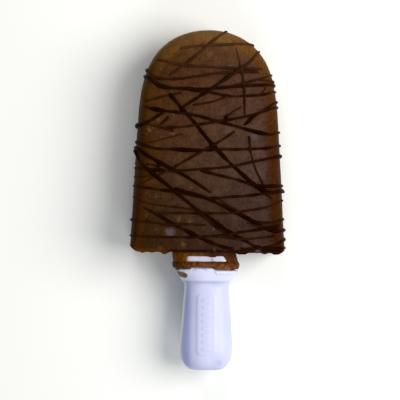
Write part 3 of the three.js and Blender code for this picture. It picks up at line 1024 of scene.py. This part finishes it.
backDrizzle = {
    "seed": 11, "strands": 9, "lowest": 5, "highest": 66, "tilt": 15, "bow": 2.2, "width": (0.9, 1.4),
    "fineStrands": 14, "fineWidth": (0.55, 0.9), "fineLength": (14, 44), "fineBow": 1.5, "fineTurn": 0.6,
    "fineHeights": (6, 64), "fineInside": (0.1, 0.8), "fineWithin": (4, 68),
}
restStrand = {"height": 30, "width": 1.6}


def bowed(fromX, fromY, toX, toY, bow, width):
    # a strand of one even bow to the left of its way
    start = Vector((fromX, fromY))
    stop = Vector((toX, toY))
    way = stop - start
    return width, start, (start + stop) / 2 + Vector((-way.y, way.x)).normalized() * bow, stop


def smoothCourse(places):
    # the place at each share of the way along a smooth curve through the places, and the curve's length
    knots = [0]
    for before, after in zip(places, places[1:]):
        knots.append(knots[-1] + (after - before).length)
    slopes = []
    for index in range(len(places)):
        low = max(index - 1, 0)
        high = min(index + 1, len(places) - 1)
        slopes.append((places[high] - places[low]) / (knots[high] - knots[low]))

    def placeAt(share):
        wanted = clamped(share) * knots[-1]
        index = 0
        while index < len(places) - 2 and wanted > knots[index + 1]:
            index += 1
        span = knots[index + 1] - knots[index]
        t = (wanted - knots[index]) / span
        leave = slopes[index] * span * t * (1 - t) ** 2
        arrive = slopes[index + 1] * span * t * t * (t - 1)
        return places[index].lerp(places[index + 1], smoothed(t)) + leave + arrive

    return placeAt, knots[-1]


def strandLine(row, side, luck):
    # the middle line of a strand with its radius at each point; both ends sink into the ice
    width, *course = row
    width *= drizzle["broaden"]
    course = [Vector(place) for place in course]
    lastTurns = []
    for end in (course[0], course[-1]):
        angle = math.atan2(end.y - bar["middle"], end.x)
        reach = reachAt(angle)
        if math.hypot(end.x, end.y - bar["middle"]) < reach - drizzle["edgeReach"]:
            lastTurns.append(drizzle["freeTurn"])
        else:
            end.x = reach * math.cos(angle)
            end.y = bar["middle"] + reach * math.sin(angle)
            lastTurns.append(luck.uniform(*drizzle["wrapTurn" if side > 0 else "backWrapTurn"]))
    placeAt, length = smoothCourse(course)
    way = course[-1] - course[0]
    left = Vector((-way.y, way.x)).normalized()
    low = math.sin(math.radians(max(-lastTurns[0], -90)))
    high = math.sin(math.radians(min(lastTurns[1], 90)))
    own = luck.uniform(0, 200)
    points = []
    for step in range(drizzle["steps"] + 1):
        share = step / drizzle["steps"]
        turn = math.radians(-lastTurns[0] + (lastTurns[0] + lastTurns[1]) * share)
        along = (math.sin(turn) - low) / (high - low)
        inner = min(1, 5 * along * (1 - along))
        wander = noise.noise(Vector((along * length / drizzle["wanderSize"], own, side)))
        plan = placeAt(along) + left * (wander * drizzle["wander"] * inner)
        height = faceHeight(plan.x, plan.y) * (-1 if math.cos(turn) < 0 else 1)
        uneven = noise.noise(Vector((along * length / drizzle["unevenSize"], own, 5))) * drizzle["uneven"]
        toEnd = min(share, 1 - share) * drizzle["steps"]
        radius = width / 2 * (1 + uneven) * min(1, drizzle["endShare"] + toEnd / drizzle["endPlaces"])
        for poolX, poolY, reach, swell in drizzle["pools"] if side > 0 else []:
            radius *= 1 + swell * math.exp(-((plan.x - poolX) ** 2 + (plan.y - poolY) ** 2) / reach**2)
        sink = drizzle["sink"] * width / 2 * max(0, 1 - toEnd / drizzle["sinkPlaces"])
        shift = drizzle["proud"] - sink
        outer = 1 + shift / bar["edge"] / 4
        point = Vector((
            plan.x * outer,
            bar["middle"] + (plan.y - bar["middle"]) * outer,
            height * (1 + shift / bar["halfDepth"]) * side,
        ))
        points.append((point, radius))
    return points


def cellOf(point, step=(0, 0, 0)):
    return tuple(math.floor(value / drizzle["crossCell"]) + more for value, more in zip(point, step))


def laidOver(lines, side):
    # a later strand climbs over the earlier ones that it crosses
    nextTo = [(dx, dy, dz) for dx in (-1, 0, 1) for dy in (-1, 0, 1) for dz in (-1, 0, 1)]
    laidBefore = {}
    done = []
    for line in lines:
        lifts = []
        for point, _ in line:
            lift = 0
            for step in nextTo:
                for other, otherRadius in laidBefore.get(cellOf(point, step), []):
                    near = 1 - ((point - other).length / drizzle["crossReach"]) ** 2
                    lift = max(lift, near * otherRadius * drizzle["crossLift"])
            lifts.append(lift)
        for point, radius in line:
            laidBefore.setdefault(cellOf(point), []).append((point, radius))
        raised = []
        for index, (point, radius) in enumerate(line):
            around = lifts[max(index - 2, 0):index + 3]
            flat = min(abs(point.z) / bar["halfDepth"], 1)
            out = Vector((point.x, (point.y - bar["middle"]) * 0.6, 0)).normalized() * (1 - flat)
            out.z = side * flat
            raised.append((point + out * (sum(around) / len(around)), radius))
        done.append(raised)
    return done


def backRows():
    state = backDrizzle["seed"]

    def draw(low, high):
        nonlocal state
        state = (state * 16807) % 2147483647
        return low + (high - low) * state / 2147483647

    rows = []
    for index in range(backDrizzle["strands"]):
        share = (index + 0.5) / backDrizzle["strands"]
        middle = backDrizzle["lowest"] + (backDrizzle["highest"] - backDrizzle["lowest"]) * share
        tilt = draw(-backDrizzle["tilt"], backDrizzle["tilt"]) * min(1, 3 * (1 - share))
        low = max(middle - tilt, backDrizzle["lowest"])
        high = max(middle + tilt, backDrizzle["lowest"])
        bow = draw(-backDrizzle["bow"], backDrizzle["bow"])
        rows.append(bowed(-halfWidthAt(low), low, halfWidthAt(high), high, bow, draw(*backDrizzle["width"])))
    side = halfWidthAt(restStrand["height"])
    rows.append(bowed(-side, restStrand["height"], side, restStrand["height"], 0, restStrand["width"]))
    return rows


def fineRows(luck):
    # thin strands of the back, some from the side and some lying free
    rows = []
    for _ in range(backDrizzle["fineStrands"]):
        y = luck.uniform(*backDrizzle["fineHeights"])
        inside = halfWidthAt(y)
        x = luck.choice([-1, 1]) * inside * luck.choice([1, luck.uniform(*backDrizzle["fineInside"])])
        length = luck.uniform(*backDrizzle["fineLength"])
        angle = luck.uniform(-backDrizzle["fineTurn"], backDrizzle["fineTurn"]) + (0 if x < 0 else math.pi)
        toY = clamped(y + length * math.sin(angle), *backDrizzle["fineWithin"])
        room = halfWidthAt(toY)
        toX = clamped(x + length * math.cos(angle), -room, room)
        bow = luck.uniform(-backDrizzle["fineBow"], backDrizzle["fineBow"])
        rows.append(bowed(x, y, toX, toY, bow, luck.uniform(*backDrizzle["fineWidth"])))
    return rows


def strandTree():
    entry = openTree("strands", {
        "Step": drizzle["step"], "Sides": drizzle["sides"], "Ripple": drizzle["ripple"],
        "Lowest": -bar["halfDepth"] - bar["restProud"], "Seed": 0.0,
    })
    curve = entry.node("GeometryNodeMeshToCurve", None, {"Mesh": entry.out("Geometry")})
    even = entry.node("GeometryNodeResampleCurve", {"mode": "LENGTH"}, {
        "Curve": curve, "Length": entry.out("Step")})
    ring = entry.node("GeometryNodeCurvePrimitiveCircle", None, {
        "Resolution": entry.out("Sides"), "Radius": 1.0})
    tube = entry.node("GeometryNodeCurveToMesh", None, {
        "Curve": even, "Profile Curve": ring.out("Curve"), "Scale": named(entry, "strandRadius"),
        "Fill Caps": True})
    ripple = wavy(placeOf(entry), drizzle["rippleSize"], entry.out("Seed"), 1.0) * entry.out("Ripple") * 2
    rippled = pushed(tube, ripple)
    x, y, z = parted(placeOf(entry))
    return closeTree(entry, moved(rippled, joined(x, y, z.atLeast(entry.out("Lowest")))))


strands = strandTree()


def makeDrizzle(label, lines, seed):
    marks = {"strandRadius": [radius for line in lines for _, radius in line]}
    mesh = lineMesh(label, [[point for point, _ in line] for line in lines], marks)
    piece = grown(label, strands, mesh, {"Seed": seed, "Finish": darkDrizzle})
    dress(piece, "ice_cream")


luck = random.Random(drizzle["seed"])
frontLines = laidOver([strandLine(row, 1, luck) for row in drizzle["front"]], 1)
makeDrizzle("drizzleFront", frontLines, 1.0)
backLines = laidOver([strandLine(row, -1, luck) for row in backRows() + fineRows(luck)], -1)
makeDrizzle("drizzleBack", backLines, 2.0)


# ---- the frozen run-off under the bar ----

collar = {
    "fullness": 2.6,
    "sections": [  # place along the axis, half width and half depth
        (1.5, 0.0, 0.0), (1.5, 10.7, 6.3), (-0.2, 10.7, 6.3), (-1.6, 10.8, 6.4), (-3.0, 10.8, 6.5),
        (-3.5, 11.2, 7.3), (-5.1, 11.1, 7.5), (-5.4, 10.5, 7.1), (-5.3, 8.2, 6.0), (-5.3, 0.0, 0.0),
    ],
    "xTop": -1.05,  # it froze a little to the left, most of all at its top
    "xFoot": -0.4,
    "leanFoot": -4.0,
    "soften": 0.4,
    "step": 0.16,
    "turns": 400,
    "lumps": 0.28,
    "lumpSize": 1.7,
    "lumpHeight": (-1.0, -3.4),  # the lumps are full below this
    "grainSize": 0.8,
    "footRise": (0.28, 0.75),  # the band's lower edge is raised at the left, and most left of the middle
    "footLeft": (-5.8, -5.0),
    "footRight": (3.2, 1.6),
    "footHeight": (-4.0, -5.0),
    "window": {
        "top": -1.0, "foot": -2.65, "xTop": -0.65, "xFoot": -0.75, "halfTop": 5.95, "halfFoot": 7.5,
        "depth": 4.6, "soft": 0.16, "notch": (1.8, 1.4, 0.35), "uneven": 0.5, "unevenSize": 1.6,
    },
    "seed": 31.0,
}

stick = {
    "turns": 320,
    "fullness": 2.15,
    "seatFullness": 7,
    "soften": 0.45,
    "step": 0.22,
    "tangStep": 2.5,
    "tang": [(34, 0.0, 0.0), (34, 3.6, 1.2), (33, 4.8, 2), (-0.7, 5, 2.2)],
    "seat": [(-0.7, 6.9, 5.5), (-5.7, 8, 5.8)],
    "guard": [(-5.7, 10.4, 7), (-6.1, 10.75, 7.4), (-9.1, 8.5, 6.4), (-9.9, 7.7, 5.5)],
    "neck": -11,
    "end": -39.2,
    "halfNeck": 7.3,
    "halfWide": 8.8,
    "wideAt": -30,
    "neckDepth": 5,
    "wideDepth": 6,
    "endRound": 7,
    "endHalf": 4,
    "endDepth": 2.4,
    "endSteps": 16,
    "leftRise": {"from": (-9.6, -8.4), "to": (-4.4, -5.4), "height": (-7.4, -6.2), "amount": 0.4},
    "panel": {"top": -13.7, "foot": -33.9, "halfWidth": 3.2, "proud": 0.2, "corner": 1.4, "soft": 0.5},
}


def eased(corners, reach):
    # corners drawn as short arcs that start at most reach away
    points = [corners[0]]
    for before, corner, after in zip(corners, corners[1:], corners[2:]):
        toBefore = before - corner
        toAfter = after - corner
        cut = min(reach, toBefore.length * 0.45, toAfter.length * 0.45)
        if cut < 1e-4:
            points.append(corner)
            continue
        start = corner + toBefore.normalized() * cut
        stop = corner + toAfter.normalized() * cut
        for share in (0, 0.25, 0.5, 0.75, 1):
            points.append(start.lerp(corner, share).lerp(corner.lerp(stop, share), share))
    points.append(corners[-1])
    return points


def stepped(points, step, coarse=None):
    # more points, so that none lie further apart than step
    found = [points[0]]
    for before, after in zip(points, points[1:]):
        limit = coarse if coarse and max(before.y, after.y) > 0 else step
        count = max(1, math.ceil((after - before).length / limit))
        found += [before.lerp(after, index / count) for index in range(1, count + 1)]
    return found


def footRise(x):
    # the run-off's lower edge and the guard's upper edge rise together
    left, middle = collar["footRise"]
    return graded(x.rise(*collar["footLeft"]), (left, middle - left)) * x.rise(*collar["footRight"])


def collarTree(rows):
    entry = openTree("collar", {
        "Turns": collar["turns"], "Rows": rows, "Lumps": collar["lumps"], "Seed": collar["seed"]})
    skin = sectionSurface(entry)
    place = placeOf(entry)
    x, y, z = parted(place)
    seed = entry.out("Seed")
    skin = moved(skin, joined(x, y + footRise(x) * y.rise(*collar["footHeight"]), z))
    low = y.rise(*collar["lumpHeight"])
    lumps = wavy(place, collar["lumpSize"], seed) * (0.5 + low)
    grain = wavy(place, collar["grainSize"], seed + 5) * low * 0.5
    lumpy = pushed(skin, (lumps + grain) * entry.out("Lumps") * 2)
    window = collar["window"]
    soft = window["soft"]
    place = placeOf(entry)
    x, y, z = parted(place)
    uneven = wavy(place, window["unevenSize"], seed + 9, 1.0) * window["uneven"]
    fall = (y - window["foot"]) / (window["top"] - window["foot"])
    half = graded(fall, (window["halfFoot"], window["halfTop"] - window["halfFoot"]))
    middle = graded(fall, (window["xFoot"], window["xTop"] - window["xFoot"]))
    notchX, notchHalf, notchDeep = window["notch"]
    notch = (x - notchX).size().rise(notchHalf, notchHalf * 0.6) * notchDeep
    within = (half - (x - middle).size() + uneven).rise(-soft, soft)
    within = within * (window["top"] - notch - y + uneven * 0.5).rise(-soft, soft)
    within = within * (y - window["foot"] + uneven * 0.5).rise(-soft, soft)
    depth = z.size()
    sunk = depth - within * (depth - window["depth"]).atLeast(0.0)
    return closeTree(entry, moved(lumpy, joined(x, y, sunk * z.maths("SIGN"))))


def sectionMesh(label, rows, fullness, centre):
    marks = {"fullness": [fullness(row) for row in rows], "centre": [centre(row) for row in rows]}
    return lineMesh(label, [rows], marks)


def collarCentre(row):
    share = clamped(row.y / collar["leanFoot"])
    return collar["xTop"] + (collar["xFoot"] - collar["xTop"]) * share


collarCorners = [Vector((halfWidth, y, halfDepth)) for y, halfWidth, halfDepth in collar["sections"]]
collarRows = stepped(eased(collarCorners, collar["soften"]), collar["step"])
collarMesh = sectionMesh("collarRows", collarRows, lambda row: collar["fullness"], collarCentre)
runoffCollar = grown("runoffCollar", collarTree(len(collarRows)), collarMesh, {"Finish": frozenRunoff})
dress(runoffCollar, "ice_cream")


# ---- the stick ----


def stickCorners():
    rows = [*stick["tang"], *stick["seat"], *stick["guard"]]
    rows.append((stick["neck"], stick["halfNeck"], stick["neckDepth"]))
    rows.append((stick["wideAt"], stick["halfWide"], stick["wideDepth"]))
    for step in range(stick["endSteps"] + 1):
        turn = math.pi / 2 * step / stick["endSteps"]
        y = stick["end"] + stick["endRound"] * (1 - math.sin(turn))
        halfWidth = stick["endHalf"] + (stick["halfWide"] - stick["endHalf"]) * math.cos(turn)
        halfDepth = stick["endDepth"] + (stick["wideDepth"] - stick["endDepth"]) * math.cos(turn)
        rows.append((y, halfWidth, halfDepth))
    rows.append((stick["end"], 0.0, 0.0))
    return [Vector((halfWidth, y, halfDepth)) for y, halfWidth, halfDepth in rows]


def stickTree(rows):
    entry = openTree("stick", {"Turns": stick["turns"], "Rows": rows})
    skin = sectionSurface(entry)
    x, y, z = parted(placeOf(entry))
    panel = stick["panel"]
    halfLength = (panel["top"] - panel["foot"]) / 2
    centre = (panel["top"] + panel["foot"]) / 2
    overX = (x - bar["stickX"]).size() - (panel["halfWidth"] - panel["corner"])
    overY = (y - centre).size() - (halfLength - panel["corner"])
    outX = overX.atLeast(0.0)
    outY = overY.atLeast(0.0)
    outside = (outX * outX + outY * outY).maths("SQRT") + overX.atLeast(overY).atMost(0.0)
    within = (panel["corner"] - outside).rise(-panel["soft"], panel["soft"])
    raised = z.size() + within * panel["proud"]
    _, seatHalf, seatDepth = stick["seat"][1]
    fullness = stick["seatFullness"]
    across = (x - bar["stickX"]).size() / seatHalf
    offSeat = (across**fullness + (raised / seatDepth) ** fullness).rise(1.05, 1.3)
    left = stick["leftRise"]
    leftRise = x.rise(*left["from"]) * x.rise(*left["to"]) * left["amount"]
    rise = (footRise(x) + leftRise) * offSeat * y.rise(*left["height"])
    return closeTree(entry, moved(skin, joined(x, y + rise, raised * z.maths("SIGN"))))


def seatOrOval(row):
    # the seat under the bar is boxy, and the rest is oval
    seatTop, seatFoot = (y for y, _, _ in stick["seat"])
    return stick["seatFullness"] if seatFoot + 0.2 < row.y < seatTop - 0.05 else stick["fullness"]


stickRows = stepped(eased(stickCorners(), stick["soften"]), stick["step"], stick["tangStep"])
stickMesh = sectionMesh("stickRows", stickRows, seatOrOval, lambda row: bar["stickX"])
stickBody = grown("stickBody", stickTree(len(stickRows)), stickMesh, {"Finish": whitePlastic})
dress(stickBody, "handle")

ribs = {
    "count": 8, "halfWidth": 1.5, "height": 1.2, "top": -15.8, "foot": -31.9, "proud": 0.13,
    "squareness": 4, "pointsAcross": 21, "pointsAlong": 11, "pointsUp": 7,
}


def gripDepthAt(y):
    # from the axis to the panel's face
    share = clamped((y - stick["neck"]) / (stick["wideAt"] - stick["neck"]))
    return stick["neckDepth"] + (stick["wideDepth"] - stick["neckDepth"]) * share + stick["panel"]["proud"]


def ribPoints():
    rows = []
    for side in (1, -1):
        for index in range(ribs["count"]):
            y = ribs["top"] + (ribs["foot"] - ribs["top"]) * index / (ribs["count"] - 1)
            rows.append((bar["stickX"], y, gripDepthAt(y) * side))
    return rows


def ribTree():
    entry = openTree("ribs", {
        "Half width": ribs["halfWidth"], "Height": ribs["height"], "Proud": ribs["proud"],
        "Squareness": float(ribs["squareness"]),
        "Sag": stick["wideDepth"] / stick["halfWide"] ** 2 / 2,  # the panel's face falls off to its sides
    })
    cube = entry.node("GeometryNodeMeshCube", None, {
        "Size": (2, 2, 2), "Vertices X": ribs["pointsAcross"], "Vertices Y": ribs["pointsAlong"],
        "Vertices Z": ribs["pointsUp"]})
    size = joined(entry.out("Half width"), entry.out("Height") / 2, entry.out("Proud"))
    place = placeOf(entry)
    x, y, z = (value.size() for value in parted(place))
    squareness = entry.out("Squareness")
    furthest = x.atLeast(y).atLeast(z)
    pull = furthest / (x**squareness + y**squareness + z**squareness) ** (1 / squareness)
    block = moved(cube, place.vector("MULTIPLY", joined(pull, pull, pull)).vector("MULTIPLY", size))
    points = entry.node("GeometryNodeMeshToPoints", None, {"Mesh": entry.out("Geometry")})
    placed = entry.node("GeometryNodeInstanceOnPoints", None, {"Points": points, "Instance": block})
    real = placed.through("RealizeInstances")
    x, y, z = parted(placeOf(entry))
    across = x - bar["stickX"]
    sagged = z - across * across * entry.out("Sag") * z.maths("SIGN")
    return closeTree(entry, moved(real, joined(x, y, sagged)))


ribMesh = lineMesh("ribPoints", [[point] for point in ribPoints()], {})
gripRibs = grown("gripRibs", ribTree(), ribMesh, {"Finish": whitePlastic})
dress(gripRibs, "handle")


# ---- table, light and camera ----

table = {
    "reach": 6.0,
    "under": 0.00005,
    "colour": (0.93, 0.93, 0.885),
    "warm": (0.945, 0.94, 0.89),
    "tone": 60.0,
    "plain": {"Roughness": 0.7, "Specular IOR Level": 0.2},
}

paleTable, tablePlace = openFinish("pale table")
tone = cloudy(tablePlace, table["tone"], 2.0).rise(0.3, 0.7)
closeFinish(tablePlace, table, {"Base Color": tinted(table["colour"], table["warm"], tone)})

half = table["reach"]
floorMesh = bpy.data.meshes.new("table")
corners = [(-half, -half, 0), (half, -half, 0), (half, half, 0), (-half, half, 0)]
floorMesh.from_pydata(corners, [], [(0, 1, 2, 3)])
floorMesh.transform(Matrix.Translation((0, 0, -table["under"])))
floorMesh.materials.append(paleTable)
floor = bpy.data.objects.new("table", floorMesh)
scene.collection.objects.link(floor)

# place of each light over the base, the size of its face, its power in watts and its colour
lights = {
    "keyRight": ((420, 70, 450), 520, 4.1, (1.0, 0.99, 0.97)),
    "overTip": ((-110, 440, 400), 340, 0.8, (1.0, 0.98, 0.94)),
    "underFoot": ((60, -430, 400), 340, 0.95, (0.94, 0.96, 1.0)),
}

room = {"colour": (0.80, 0.88, 1.0), "strength": 0.23, "aimHeight": 20}

aim = baseMiddle + Vector((0, room["aimHeight"] * mm, 0))
for label, (place, size, power, colour) in lights.items():
    lamp = bpy.data.lights.new(label, "AREA")
    lamp.shape = "DISK"
    lamp.size = size * mm
    lamp.energy = power
    lamp.color = colour
    lit = bpy.data.objects.new(label, lamp)
    lit.location = baseMiddle + Vector(place) * mm
    lit.rotation_euler = (aim - lit.location).to_track_quat("-Z", "Y").to_euler()
    scene.collection.objects.link(lit)

world = bpy.data.worlds.new("room")
world.use_nodes = True
world.node_tree.nodes["Background"].inputs["Color"].default_value = (*room["colour"], 1)
world.node_tree.nodes["Background"].inputs["Strength"].default_value = room["strength"]
scene.world = world
scene.view_settings.view_transform = "Standard"

framing = {"x": -2.52, "y": 17.74, "distance": 550, "across": 134.4, "sensor": 36, "lean": 0.35}

lens = bpy.data.cameras.new("camera")
lens.sensor_width = framing["sensor"]
lens.lens = framing["sensor"] * framing["distance"] / framing["across"]
lens.clip_start = 0.01
lens.clip_end = 50
camera = bpy.data.objects.new("camera", lens)
camera.location = baseMiddle + Vector((framing["x"], framing["y"], framing["distance"])) * mm
camera.rotation_euler = (0, 0, math.radians(framing["lean"]))
scene.collection.objects.link(camera)
scene.camera = camera
print("stage and camera set")
